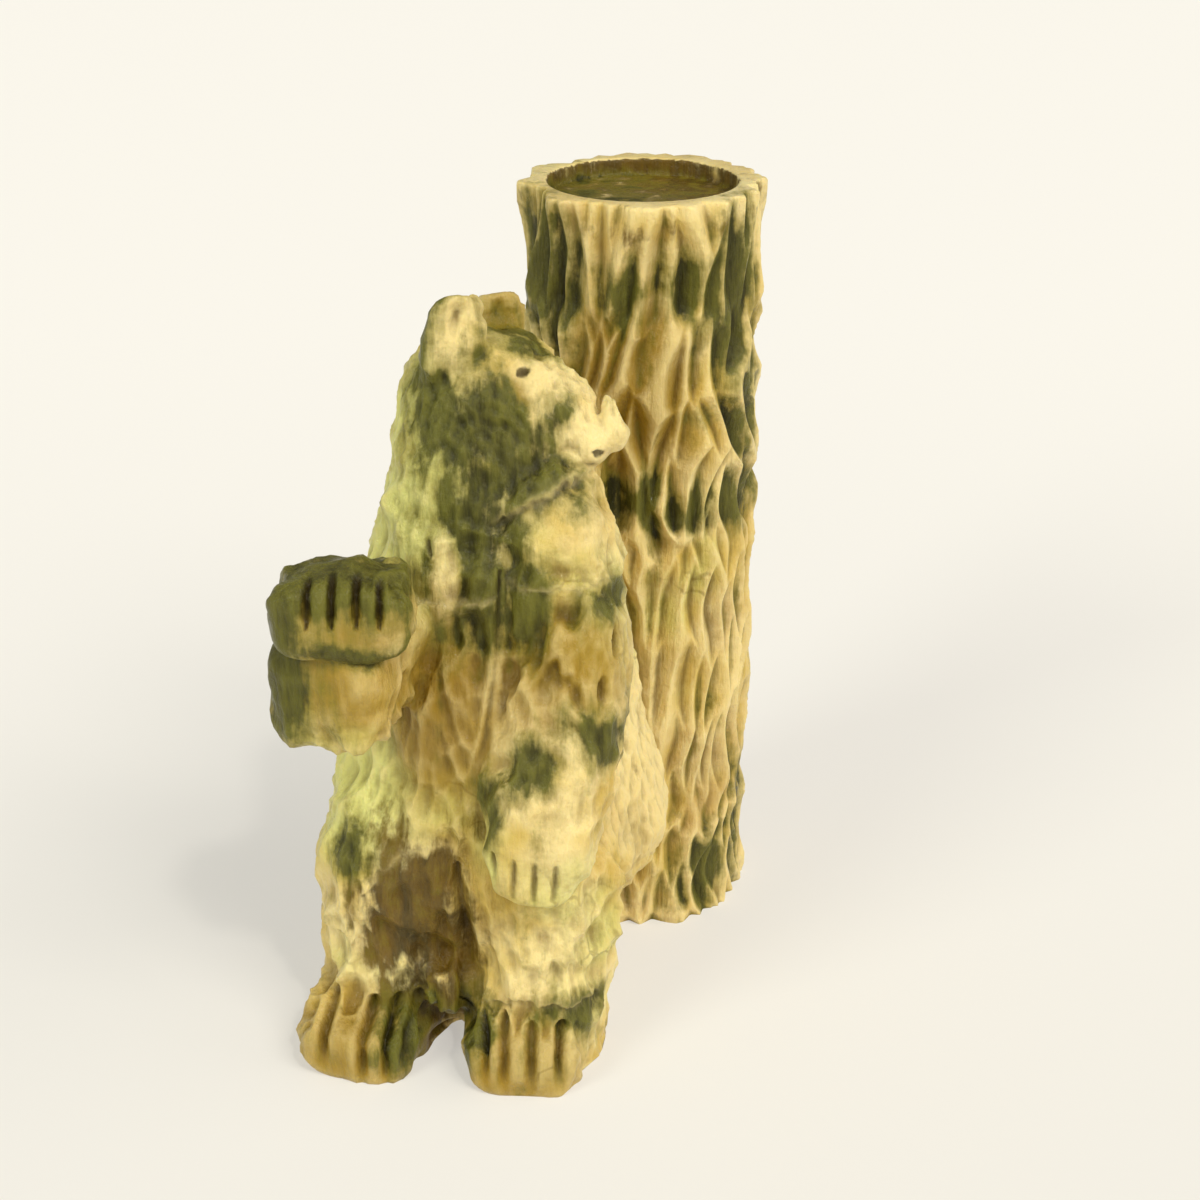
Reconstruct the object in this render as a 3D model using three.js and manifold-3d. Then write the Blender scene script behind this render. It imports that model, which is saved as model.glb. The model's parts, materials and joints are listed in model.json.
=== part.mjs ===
// A bear standing upright beside a tree trunk, carved from one block of soapstone.
// Millimetres, +Z up, the bear's chest faces -Y. The trunk's top has a shallow round seat for a candle.
// The bear's body is a skin drawn round its limbs with rounded hollows between them. The raised paw,
// the feet, the muzzle and the ears stand out from it, and claws, toes, eye and mouth are cut in.

import * as THREE from 'three';
import { mergeVertices } from 'three/addons/utils/BufferGeometryUtils.js';
import Module from 'manifold-3d';

const wasm = await Module();
wasm.setup();

// Driving dimensions
const TRUNK_HEIGHT = 220;
const TRUNK_RADIUS = 34.2;
const SEAT_RADIUS = 26;
const SEAT_DEPTH = 5;
const TRUNK_X = 30;
const TRUNK_Y = 45;

// Bark: upright gouges that narrow and widen in turn, so that their ridges cross as lozenges
const GOUGE_HEIGHT = 31;
const GOUGE_DEPTH = 3.6;
const GOUGE_STAGGER = 0.6;
const GOUGE_LEAST = 0.6;
const TRUNK_SIDES = 44;
const TRUNK_RINGS = 24;
const SEAT_SIDES = 48;

// Skin of the body: columns round it and rings up it
const SKIN_COLUMNS = 44;
const SKIN_RINGS = 38;
const SKIN_REACH = 80;
const SKIN_STEP = 1;
const SKIN_FOOT = -4;
const SKIN_CROWDING = 1.25;
const SKIN_HALVINGS = 6;
const SPINE = [[-47, -60, 0], [-45, -63, 50], [-42, -64, 100], [-40, -64, 150], [-39, -65, 200]];

// Limbs of the body. Places are measured from the foot of the trunk's axis. A station is a place with an
// oval round it: x, y, z, half the width along side, half the depth across it.
const LIMBS = {
  torso: {
    fillet: 4,
    stations: [[-47, -58, 24, 31, 33], [-46, -62, 60, 36, 41], [-43, -62, 98, 35, 40],
      [-41, -62, 138, 28, 35], [-40, -64, 168, 19, 24]],
  },
  back: { fillet: 10, stations: [[-25, -37, 44, 16, 17], [-25, -37, 152, 14, 15]] },
  rump: { fillet: 8, stations: [[-18, -57, 56, 25, 28], [-21, -54, 94, 20, 26]] },
  rightUpperArm: {
    fillet: 8,
    stations: [[-48, -65, 180, 13.5, 15], [-51, -67, 160, 14.5, 20], [-55, -74, 136, 14, 17]],
  },
  leftShoulder: { fillet: 8, stations: [[-30, -68, 168, 13, 16], [-25, -77, 146, 15, 17]] },
  rightLeg: {
    fillet: 6,
    stations: [[-64, -70, 84, 16, 19], [-69, -78, 56, 19, 21.5], [-71, -80, 26, 17, 18.5],
      [-71, -81, 0, 17, 18.5]],
  },
  leftLeg: {
    fillet: 6,
    stations: [[-28, -72, 86, 18, 21], [-26, -83, 58, 21.5, 25], [-27, -86, 26, 19.5, 22],
      [-28, -86, 0, 18, 21]],
  },
  skull: {
    fillet: 6,
    side: [0.4, 0.9, 0],
    stations: [[-45, -62, 183, 13, 13], [-38, -66, 183, 17, 16], [-26, -72, 179, 13.5, 13]],
  },
};

// Masses that stand out from the body: an oval carried along a path from the first place to the last.
// Fullness 2 makes an egg and more makes a blunt sausage; box above 2 squares the section.
const MASSES = {
  leftArm: {
    path: [[-30, -68, 178], [-23, -79, 150], [-20, -92, 116], [-25, -104, 88], [-30, -112, 61]],
    wide: [13, 16.5, 16, 17, 15.5],
    deep: [14, 18, 15.5, 12, 8],
    fullness: 4,
    box: 2.3,
    rings: 18,
  },
  rightForearm: {
    path: [[-59, -76, 131], [-70, -97, 123], [-79, -119, 121.5]],
    wide: [13, 14.5, 16.5],
    deep: [14, 15, 15.5],
    fullness: 6,
    box: 3.2,
  },
  rightFingers: {
    path: [[-70, -96, 141], [-72, -112, 144], [-72, -124, 143.8]],
    wide: [15, 17, 17],
    deep: [9.5, 11.2, 10.2],
    fullness: 6,
    box: 3.2,
  },
  muzzle: {
    path: [[-36, -67, 182], [-22.5, -74.5, 178], [-15, -79, 173.6], [-9.5, -81, 172]],
    wide: [15, 10.8, 6.6, 4.8],
    deep: [14, 10.4, 6.6, 4.8],
    side: [0.4, 0.9, 0],
    fullness: 4,
  },
  rightFoot: {
    path: [[-66, -62, 8], [-74, -84, 10], [-80, -107, 5]],
    wide: [16, 17, 17],
    deep: [12, 13, 11],
    fullness: 4.5,
    box: 2.8,
  },
  leftFoot: {
    path: [[-31, -64, 8], [-31.5, -90, 10], [-32, -114, 5]],
    wide: [17, 17.5, 17],
    deep: [12, 14, 11],
    fullness: 4.5,
    box: 2.8,
  },
  rightEar: {
    path: [[-48.5, -73, 187], [-47, -77, 198], [-45, -77, 211.5]],
    wide: [7.5, 8, 6.2],
    deep: [6, 5, 3.5],
    side: [1, 0.35, 0],
    fullness: 4,
  },
  leftEar: {
    path: [[-36, -54, 186], [-37, -54, 197], [-37, -54, 205]],
    wide: [6, 7, 6],
    deep: [6, 4.5, 3.5],
    side: [1, 0.35, 0],
    fullness: 4,
  },
};
const MASS_SIDES = 14;
const MASS_RINGS = 10;

// Hollows cut in, as smaller masses
const GROOVE = { wide: [1.6, 1.9, 1.6], deep: [2, 2.4, 2], fullness: 4 };
const HOLLOW_SIDES = 5;
const HOLLOW_RINGS = 4;
const HOLLOWS = {
  arch: {
    path: [[-51, -124, 0], [-50, -104, 0], [-49, -82, 0]],
    wide: [9, 9, 7],
    deep: [12, 12, 8],
    fullness: 6,
  },
  cleft: {
    path: [[-49, -107, 76], [-49, -103, 44], [-49, -100, 2]],
    wide: [3, 4, 5],
    deep: [6, 7, 8],
    fullness: 3,
  },
  rightEarCup: {
    path: [[-47, -79, 191], [-46, -81.5, 199], [-44.5, -81.5, 208]],
    wide: [4, 5, 4.5],
    deep: [2, 3, 2.5],
  },
  leftEarCup: {
    path: [[-35, -57, 191], [-36, -58.5, 197], [-36, -58.5, 203]],
    wide: [4, 4.5, 4],
    deep: [2, 2.5, 2],
  },
  eye: {
    path: [[-30.4, -81, 193.5], [-30.4, -78, 191.5], [-30.4, -75, 190]],
    wide: [2, 2, 2],
    deep: [2, 2, 2],
  },
  mouth: {
    path: [[-20, -86, 172], [-14.5, -86, 169.8], [-9.5, -85, 168.6]],
    wide: [3, 3, 3],
    deep: [0.9, 1.2, 1.2],
    side: [0, 1, 0],
  },
};
const RIGHT_CLAWS = { middle: [-72, -123.5, 149], spacing: 6.5, rise: 9, lean: 3 };
const LEFT_CLAWS = { middle: [-30.5, -117, 70], spacing: 5.4, rise: 8, lean: 2 };

// Four grooves part five claws or toes. A toe groove's places: ahead of the foot's tip, apart, height.
const GROOVE_STEPS = [-1.5, -0.5, 0.5, 1.5];
const TOE_GROOVE = [[-16, 5.5, 21], [-4, 6.5, 16], [0, 7, 2]];

// Level ground under the carving
const GROUND_WIDTH = 400;
const GROUND_DEPTH = 40;

const ACROSS = [1, 0, 0];
const vector = (place) => new THREE.Vector3(...place);
const curveThrough = (path) => new THREE.CatmullRomCurve3(path.map(vector), false, 'catmullrom', 0.5);

// Repeatable scatter between 0 and 1 for a pair of whole numbers.
function scatter(i, j) {
  const s = Math.sin(i * 127.1 + j * 311.7) * 43758.5453;
  return s - Math.floor(s);
}

// Value part-way along a row of evenly spaced numbers, eased through each of them.
function along(row, t) {
  const at = Math.min(t, 0.999999) * (row.length - 1);
  const i = Math.floor(at);
  return THREE.MathUtils.lerp(row[i], row[i + 1], THREE.MathUtils.smoothstep(at - i, 0, 1));
}

// Closed geometry as a solid: only positions are kept, and vertices that coincide are joined.
function solid(geometry) {
  geometry.deleteAttribute('normal');
  geometry.deleteAttribute('uv');
  const merged = mergeVertices(geometry, 1e-3);
  return new wasm.Manifold(new wasm.Mesh({
    numProp: 3,
    vertProperties: merged.attributes.position.array,
    triVerts: new Uint32Array(merged.index.array),
  }));
}

// Directions across a path: sideways as near to side as the path allows, and upward square to both.
function directions(tangent, side) {
  const sideways = vector(side).addScaledVector(tangent, -tangent.dot(vector(side))).normalize();
  return { sideways, upward: new THREE.Vector3().crossVectors(tangent, sideways) };
}

// Stretches of a limb from each station to the next.
function stretches({ stations, side = ACROSS }) {
  return stations.slice(1).map((next, i) => {
    const start = vector(stations[i].slice(0, 3));
    const run = vector(next.slice(0, 3)).sub(start);
    const tangent = run.clone().normalize();
    const length = run.length();
    return { start, tangent, length, from: stations[i], to: next, ...directions(tangent, side) };
  });
}

// How far a place lies outside a stretch, less than zero inside: an oval that swells from one station to
// the next, with round ends.
function outsideStretch({ start, tangent, length, from, to, sideways, upward }, place) {
  const offset = place.clone().sub(start);
  const run = offset.dot(tangent);
  const t = THREE.MathUtils.clamp(run / length, 0, 1);
  const eased = THREE.MathUtils.smoothstep(t, 0, 1);
  const wide = THREE.MathUtils.lerp(from[3], to[3], eased);
  const deep = THREE.MathUtils.lerp(from[4], to[4], eased);
  const small = Math.min(wide, deep);
  const past = (run - t * length) / small;
  return (Math.hypot(offset.dot(sideways) / wide, offset.dot(upward) / deep, past) - 1) * small;
}

// Two distances joined with a rounded hollow of the given size between their surfaces.
function fillet(a, b, size) {
  const near = Math.max(0, 1 - Math.abs(a - b) / size);
  return Math.min(a, b) - near * near * size / 4;
}

const BODY = Object.values(LIMBS).map((limb) => ({ size: limb.fillet, parts: stretches(limb) }));

function outsideBody(place) {
  let nearest = Infinity;
  for (const { size, parts } of BODY) {
    const limb = Math.min(...parts.map((part) => outsideStretch(part, place)));
    nearest = fillet(nearest, limb, size);
  }
  return nearest;
}

// Distance from the spine to the skin in a level direction, found from outside inwards.
function reach(origin, heading) {
  const at = (r) => outsideBody(origin.clone().addScaledVector(heading, r));
  let outer = SKIN_REACH;
  while (outer > 0 && at(outer - SKIN_STEP) > 0) outer -= SKIN_STEP;
  let inner = Math.max(0, outer - SKIN_STEP);
  for (let i = 0; i < SKIN_HALVINGS; i++) {
    const middle = (inner + outer) / 2;
    if (at(middle) > 0) outer = middle;
    else inner = middle;
  }
  return inner;
}

// Body: a sphere whose latitudes are levels on the spine and whose longitudes are headings round it.
function body() {
  const spine = curveThrough(SPINE);
  const onSpine = (z) => spine.getPoint(THREE.MathUtils.clamp(z / SPINE.at(-1)[2], 0, 1)).setZ(z);
  let crown = SPINE.at(-1)[2];
  while (outsideBody(onSpine(crown)) < 0) crown += SKIN_STEP / 4;
  while (outsideBody(onSpine(crown)) > 0) crown -= SKIN_STEP / 4;
  const geometry = new THREE.SphereGeometry(1, SKIN_COLUMNS, SKIN_RINGS);
  const places = geometry.attributes.position;
  const point = new THREE.Vector3();
  for (let i = 0; i < places.count; i++) {
    point.fromBufferAttribute(places, i);
    const fall = Math.acos(THREE.MathUtils.clamp(point.y, -1, 1)) / Math.PI;
    const origin = onSpine(THREE.MathUtils.lerp(crown, SKIN_FOOT, Math.pow(fall, SKIN_CROWDING)));
    const turn = Math.atan2(-point.z, point.x);
    const heading = new THREE.Vector3(Math.cos(turn), Math.sin(turn), 0);
    const atPole = fall === 0 || fall === 1;
    if (!atPole) origin.addScaledVector(heading, reach(origin, heading));
    places.setXYZ(i, origin.x, origin.y, origin.z);
  }
  return solid(geometry);
}

// Mass: a unit sphere whose latitude becomes the place along the path.
function mass(row) {
  const { path, wide, deep, side = ACROSS, fullness = 2, box = 2 } = row;
  const { sides = MASS_SIDES, rings = MASS_RINGS } = row;
  const curve = curveThrough(path);
  const geometry = new THREE.SphereGeometry(1, sides, rings);
  const places = geometry.attributes.position;
  const point = new THREE.Vector3();
  for (let i = 0; i < places.count; i++) {
    point.fromBufferAttribute(places, i);
    const t = (1 - point.y) / 2;
    const girth = Math.pow(Math.max(0, 1 - Math.pow(Math.abs(2 * t - 1), fullness)), 1 / fullness);
    const turn = Math.atan2(point.z, point.x);
    const across = Math.cos(turn);
    const over = Math.sin(turn);
    const square = Math.pow(Math.pow(Math.abs(across), box) + Math.pow(Math.abs(over), box), -1 / box);
    const { sideways, upward } = directions(curve.getTangent(t), side);
    point.copy(curve.getPoint(t));
    point.addScaledVector(sideways, across * square * girth * along(wide, t));
    point.addScaledVector(upward, over * square * girth * along(deep, t));
    places.setXYZ(i, point.x, point.y, point.z);
  }
  return solid(geometry);
}

// Depth of the bark on an upright line of the trunk's wall: each line swings between ridge and gouge, its
// neighbours swing the other way, and no two swing quite together.
function bark(line, z) {
  const swing = Math.sin(Math.PI * (line + z / GOUGE_HEIGHT + GOUGE_STAGGER * scatter(line, 7)));
  const strength = THREE.MathUtils.lerp(GOUGE_LEAST, 1, scatter(line, 3));
  return GOUGE_DEPTH * (1 - swing) / 2 * strength;
}

// Trunk with its bark and the seat in its top
function trunk() {
  const round = [TRUNK_RADIUS, TRUNK_RADIUS, TRUNK_HEIGHT, TRUNK_SIDES, TRUNK_RINGS];
  const wall = new THREE.CylinderGeometry(...round);
  wall.rotateX(Math.PI / 2);
  wall.translate(0, 0, TRUNK_HEIGHT / 2);
  const places = wall.attributes.position;
  for (let i = 0; i < places.count; i++) {
    const x = places.getX(i);
    const y = places.getY(i);
    const onWall = Math.hypot(x, y) > TRUNK_RADIUS / 2;
    if (!onWall) continue;
    const turn = Math.atan2(y, x) / (2 * Math.PI);
    const line = Math.round((turn + 1) * TRUNK_SIDES) % TRUNK_SIDES;
    const keep = 1 - bark(line, places.getZ(i)) / TRUNK_RADIUS;
    places.setXY(i, x * keep, y * keep);
  }
  const seat = new THREE.CylinderGeometry(SEAT_RADIUS, SEAT_RADIUS, 2 * SEAT_DEPTH, SEAT_SIDES);
  seat.rotateX(Math.PI / 2);
  seat.translate(0, 0, TRUNK_HEIGHT);
  return solid(wall).subtract(solid(seat));
}

// Grooves between the claws of a paw: upright, side by side across it.
function claws({ middle, spacing, rise, lean }) {
  return GROOVE_STEPS.map((step) => {
    const [x, y, z] = [middle[0] + step * spacing, middle[1], middle[2]];
    return { path: [[x, y + lean, z + rise], [x, y, z], [x, y, z - rise]], ...GROOVE };
  });
}

// Grooves between the toes of a foot: over its top and down its front, fanned along its heading.
function toes({ path }) {
  const [, instep, tip] = path;
  const heading = Math.atan2(tip[1] - instep[1], tip[0] - instep[0]);
  return GROOVE_STEPS.map((step) => {
    const place = ([ahead, apart, z]) => [
      tip[0] + ahead * Math.cos(heading) - step * apart * Math.sin(heading),
      tip[1] + ahead * Math.sin(heading) + step * apart * Math.cos(heading),
      z,
    ];
    return { path: TOE_GROOVE.map(place), ...GROOVE };
  });
}

let carving = trunk().add(body());
for (const row of Object.values(MASSES)) carving = carving.add(mass(row));
const paws = [claws(RIGHT_CLAWS), claws(LEFT_CLAWS)].flat();
const feet = [toes(MASSES.rightFoot), toes(MASSES.leftFoot)].flat();
for (const row of [...Object.values(HOLLOWS), ...paws, ...feet]) {
  carving = carving.subtract(mass({ ...row, sides: HOLLOW_SIDES, rings: HOLLOW_RINGS }));
}
const ground = new THREE.BoxGeometry(GROUND_WIDTH, GROUND_WIDTH, GROUND_DEPTH);
ground.translate(0, 0, -GROUND_DEPTH / 2);
carving = carving.subtract(solid(ground));

const made = carving.getMesh();
const geometry = new THREE.BufferGeometry();
geometry.setAttribute('position', new THREE.BufferAttribute(made.vertProperties, 3));
geometry.setIndex(new THREE.BufferAttribute(made.triVerts, 1));
geometry.translate(TRUNK_X, TRUNK_Y, 0);
geometry.computeVertexNormals();

const soapstone = new THREE.MeshStandardMaterial({ color: 0xb5a060, roughness: 0.35, metalness: 0 });
const bear = new THREE.Mesh(geometry, soapstone);
bear.name = 'bear_and_trunk';

const group = new THREE.Group();
group.add(bear);
export default group;
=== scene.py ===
import json
import math
from itertools import product

import bpy
import numpy as np
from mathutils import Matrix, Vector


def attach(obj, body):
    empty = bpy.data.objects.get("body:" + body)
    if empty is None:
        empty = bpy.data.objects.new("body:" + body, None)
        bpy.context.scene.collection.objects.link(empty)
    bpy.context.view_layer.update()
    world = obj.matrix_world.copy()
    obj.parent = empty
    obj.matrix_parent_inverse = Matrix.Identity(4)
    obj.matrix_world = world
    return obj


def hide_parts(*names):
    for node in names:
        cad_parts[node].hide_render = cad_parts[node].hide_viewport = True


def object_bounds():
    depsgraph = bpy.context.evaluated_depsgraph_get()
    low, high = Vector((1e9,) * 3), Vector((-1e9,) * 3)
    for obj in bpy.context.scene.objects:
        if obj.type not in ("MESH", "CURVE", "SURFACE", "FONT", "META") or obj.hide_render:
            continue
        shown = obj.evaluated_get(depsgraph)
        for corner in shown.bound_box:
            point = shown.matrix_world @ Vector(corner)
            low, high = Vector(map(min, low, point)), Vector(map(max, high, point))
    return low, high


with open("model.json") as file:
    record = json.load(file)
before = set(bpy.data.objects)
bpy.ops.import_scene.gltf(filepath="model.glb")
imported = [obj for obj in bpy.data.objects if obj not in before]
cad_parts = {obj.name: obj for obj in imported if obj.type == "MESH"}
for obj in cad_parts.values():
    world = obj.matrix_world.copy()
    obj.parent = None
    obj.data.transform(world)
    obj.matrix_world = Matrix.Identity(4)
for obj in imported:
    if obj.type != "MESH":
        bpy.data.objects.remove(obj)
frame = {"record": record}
CAD_BOX = [list(corner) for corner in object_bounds()]

# A bear standing upright beside a tree trunk, carved from one block of soapstone.
# Places and sizes are in millimetres from the foot of the trunk's axis until the mesh is made.
MM = 0.001
SEAT_MOUNT = next(m for m in frame["record"]["mounts"] if m["name"] == "candle_seat")
TRUNK_FOOT = np.array([*SEAT_MOUNT["pos_m"][:2], 0.0])
TRUNK_HEIGHT = CAD_BOX[1][2] / MM
SEAT_FLOOR = SEAT_MOUNT["pos_m"][2] / MM
TRUNK_RADIUS = 34.3
SEAT_RADIUS = 26.0
RIM_BEVEL = 0.6
SEAT_BEVEL = 0.5
TRUNK_COLUMNS = 180

# Fineness
VOXEL = 0.6
TRIANGLES = 196000
CAVITY_REACH = 22

# Skin of the body
SPINE = np.array([[-47, -60, 0], [-45, -63, 50], [-42, -64, 100], [-40, -64, 150], [-39, -65, 200]])
SKIN_ROWS = 190
SKIN_COLUMNS = 220
SKIN_REACH = 80
SKIN_STEP = 2
SKIN_HALVINGS = 6
SKIN_CROWDING = 1.2
CROWN_LIMIT = 240.0
CROWN_STEP = 0.25
UNDER_GROUND = -4
GROUND_NEAR = 0.05
ACROSS = (1, 0, 0)
ALONG_HEAD = (0.4, 0.9, 0)
EAR_FACE = (1, 0.35, 0)

# Limbs: fillet, side, then stations of x, y, z, half the width along side, half the depth across it
LIMBS = {
    "torso": (4, ACROSS, [[-47, -58, 24, 31, 33], [-46, -62, 60, 36, 41], [-43, -62, 98, 35, 40],
                          [-41, -62, 138, 28, 35], [-40, -64, 168, 19, 24]]),
    "back": (10, ACROSS, [[-25, -37, 44, 16, 17], [-25, -37, 152, 14, 15]]),
    "rump": (8, ACROSS, [[-18, -57, 56, 25, 28], [-21, -54, 94, 20, 26]]),
    "right_upper_arm": (8, ACROSS, [[-48, -65, 180, 13.5, 15], [-51, -67, 160, 14.5, 20],
                                    [-55, -74, 136, 14, 17]]),
    "left_shoulder": (8, ACROSS, [[-30, -68, 168, 13, 16], [-25, -77, 146, 15, 17]]),
    "right_leg": (6, ACROSS, [[-64, -70, 84, 16, 19], [-69, -78, 56, 19, 21.5], [-71, -80, 26, 17, 18.5],
                              [-71, -81, 0, 17, 18.5]]),
    "left_leg": (6, ACROSS, [[-28, -72, 86, 18, 21], [-26, -83, 58, 21.5, 25], [-27, -86, 26, 19.5, 22],
                             [-28, -86, 0, 18, 21]]),
    "skull": (6, ALONG_HEAD, [[-45, -62, 183, 13, 13], [-38, -66, 183, 17, 16], [-26, -72, 179, 13.5, 13]]),
}

# Masses that stand out from the body: path, half widths, half depths, side, fullness, box
MASSES = {
    "left_arm": ([[-30, -68, 178], [-23, -79, 150], [-20, -92, 116], [-25, -104, 88], [-30, -112, 61]],
                 [13, 16.5, 16, 17, 15.5], [14, 18, 15.5, 12, 8], ACROSS, 4, 2.3),
    "right_forearm": ([[-59, -76, 131], [-70, -97, 123], [-79, -119, 121.5]],
                      [13, 14.5, 16.5], [14, 15, 15.5], ACROSS, 6, 3.2),
    "right_fingers": ([[-70, -96, 141], [-72, -112, 144], [-72, -124, 143.8]],
                      [15, 17, 17], [9.5, 11.2, 10.2], ACROSS, 6, 3.2),
    "muzzle": ([[-36, -67, 182], [-22.5, -74.5, 178], [-15, -79, 173.6], [-9.5, -81, 172]],
               [15, 10.8, 6.6, 4.8], [14, 10.4, 6.6, 4.8], ALONG_HEAD, 4, 2.2),
    "right_foot": ([[-66, -62, 8], [-74, -84, 10], [-80, -107, 5]],
                   [16, 17, 17], [12, 13, 11], ACROSS, 4.5, 2.8),
    "left_foot": ([[-31, -64, 8], [-31.5, -90, 10], [-32, -114, 5]],
                  [17, 17.5, 17], [12, 14, 11], ACROSS, 4.5, 2.8),
    "web": ([[-54, -66, 24], [-53, -86, 23], [-52, -101, 25]], [9, 9, 8], [10, 10, 9], ACROSS, 4, 2),
    "spur": ([[-8.5, -79, 171], [-8, -79, 178], [-9.4, -78.5, 186]],
             [3.4, 3.2, 2.6], [3.2, 3.0, 2.5], ACROSS, 4, 2),
    "right_ear": ([[-48.5, -73, 187], [-47, -77, 198], [-45, -77, 211.5]],
                  [7.5, 8, 6.2], [6, 5, 3.5], EAR_FACE, 4, 2.2),
    "left_ear": ([[-36, -54, 186], [-37, -54, 197], [-37, -54, 205]],
                 [6, 7, 6], [6, 4.5, 3.5], EAR_FACE, 4, 2),
}
MASS_ROWS = 70
MASS_COLUMNS = 64

# Depth into the stone counts lightly where a place's distance from a cut is measured
DEPTH_COUNTS = np.array([1.0, 0.35, 1.0])

# Cuts: path, half width, depth, how much painted shade darkens the stone inside
CUTS = {
    "arch": ([[-53, -126, 0], [-53, -84, 2]], 7, 6, 0),
    "cleft": ([[-48.5, -104, 66], [-47.5, -101, 40], [-47.5, -97, 4]], 3.0, 3.6, 0.5),
    "right_ear_cup": ([[-49, -83, 190], [-47, -82, 198], [-45, -82, 206]], 6.8, 2.6, 0),
    "left_ear_cup": ([[-36, -58, 192], [-36.5, -58.5, 201]], 6.5, 2.0, 0),
    "eye": ([[-32, -77, 190.6], [-28.8, -78, 191.2]], 1.6, 1.5, 0.9),
    "mouth": ([[-22, -87, 173], [-16.5, -88, 170.4], [-11, -84, 168.2]], 1.2, 1.4, 0.7),
    "nostril": ([[-13.2, -85.5, 172.9], [-10.8, -85.5, 171.9]], 1.5, 1.2, 1),
    "slit": ([[-54, -92, 153], [-53, -93.5, 148]], 1.1, 1.4, 0.8),
    "arm_crease": ([[-36, -96, 146], [-37, -101, 124], [-40, -104, 104], [-45, -107, 88], [-45, -108, 74]],
                   1.7, 1.8, 0.6),
}
RIGHT_CLAWS = (-79, -73.2, -67.5, -62)
LEFT_CLAWS = (-38.6, -33.2, -27.8, -22.4)
RIGHT_TOES = (-87.3, -76, -69.4, -63.5)
LEFT_TOES = (-42.8, -37.1, -29.7, -21.8)
for k, x in enumerate(RIGHT_CLAWS):
    CUTS[f"right_claw_{k}"] = ([[x, -118, 157], [x, -123, 152.5], [x - 0.3, -124.5, 144]], 1.6, 2.4, 0.75)
for k, x in enumerate(LEFT_CLAWS):
    CUTS[f"left_claw_{k}"] = ([[x, -114, 77], [x - 0.3, -117, 69], [x - 0.6, -118, 62]], 1.5, 1.5, 0.5)
for k, x in enumerate(RIGHT_TOES):
    CUTS[f"right_toe_{k}"] = ([[x + 5, -92, 24], [x + 1, -106, 14], [x, -117, -8]], 2.4, 3.4, 0.5)
for k, x in enumerate(LEFT_TOES):
    CUTS[f"left_toe_{k}"] = ([[x, -102, 22], [x, -115, 12], [x, -125, -8]], 2.4, 3.4, 0.5)

# Flakes: shingles of stone that rise towards a broken edge
# Middle of the edge, reach, way down over it, height
FLAKES = {
    "jaw": ((-24, -91, 164), (18, 10, 10), (0.45, -0.25, -0.85), 2.6),
    "shoulder": ((-20, -97, 143), (14, 9, 6), (0, 0, -1), 1.0),
    "breast": ((-53, -95, 137), (9, 8, 6), (0.1, 0, 1), 1.3),
    "breast_left": ((-44, -97, 138), (7, 8, 6), (-0.1, 0, 1), 1.1),
    "ankle": ((-26, -106, 25), (22, 12, 8), (0, -0.3, -0.95), 1.4),
    "thigh": ((-74, -98, 50), (8, 9, 17), (0.95, -0.1, -0.3), 1.3),
    "hip": ((-63, -101, 66), (8, 9, 8), (0.5, 0, -0.86), 1.0),
    "knee": ((-80, -92, 40), (8, 9, 9), (0.4, 0, -0.9), 1.0),
}

# Dark green veins, brown stains, pale green, cream and amber-brown cloud in the stone, with some painted
# light and shade among them: middle and reach of each
VEINS = {
    "ear_rim": ((-52, -79, 203), (4.5, 6, 13)),
    "nape": ((-47.5, -81, 184), (7.5, 9, 14)),
    "cheek": ((-39.5, -84, 178), (15, 12, 15)),
    "chest": ((-43, -92, 158), (10, 11, 22)),
    "chest_tip": ((-41, -97, 142), (7, 9, 14)),
    "brow": ((-26, -68, 197), (11, 9, 6)),
    "temple": ((-21, -83, 186), (5, 6, 8)),
    "jaw": ((-30, -89, 169), (13, 9, 7)),
    # A painted shadow: a dark band under the overhanging finger block
    "painted_shadow_under_fingers": ((-72, -122, 135.5), (17, 5, 3)),
    "fingers": ((-72, -118, 153), (24, 24, 8)),
    "finger_left": ((-88, -118, 146), (8, 16, 12)),
    "wrist": ((-87, -112, 128), (8, 16, 17)),
    "trunk_left": ((-28, -16, 200), (9, 18, 20)),
    "trunk_upper": ((-7, -32, 198), (6, 6, 7)),
    "trunk_front": ((12, -31, 200), (8, 6, 7)),
    "trunk_corner": ((26, -18, 192), (9, 12, 22)),
    "trunk_right": ((31, -10, 166), (5, 12, 16)),
    "band_left": ((-1, -31, 139), (8, 8, 6)),
    "band_middle": ((14, -30, 134), (11, 8, 5)),
    "band_right": ((31, -8, 133), (7, 12, 8)),
    "base_front": ((20, -26, 17), (7, 8, 11)),
    "base_side": ((31, -8, 28), (7, 9, 16)),
    "arm_top": ((-30, -99, 140), (5, 8, 10)),
    "arm_streak": ((-9, -93, 140), (8, 8, 4)),
    "arm_back": ((-12, -106, 108), (9, 9, 6)),
    "arm_side": ((-6, -88, 104), (6, 10, 10)),
    "arm_spot": ((-31, -112, 100), (6, 6, 6)),
    "paw_edge": ((-40, -110, 88), (4, 6, 7)),
    "hip": ((-77, -96, 66), (6, 8, 6)),
    "ankle": ((-12, -103, 22), (12, 8, 5)),
    "instep": ((-45, -106, 16), (5, 9, 10)),
    "right_instep": ((-63, -104, 15), (8, 8, 9)),
    "trunk_back": ((12, 32, 156), (10, 8, 20)),
    "trunk_back_low": ((-14, 31, 58), (8, 8, 18)),
    "trunk_back_rim": ((-20, 28, 206), (12, 10, 9)),
    "back": ((-54, -28, 132), (14, 12, 18)),
    "haunch": ((-74, -46, 58), (10, 14, 12)),
    "heel": ((-56, -34, 16), (12, 10, 10)),
}
STAINS = {
    "thigh": ((-60, -100, 46), (14, 12, 22)),
    "shin": ((-58, -96, 18), (13, 14, 18)),
    "crotch": ((-55, -102, 62), (8, 8, 7)),
    "seat": ((0, 0, 214), (27, 27, 3)),
}
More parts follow.
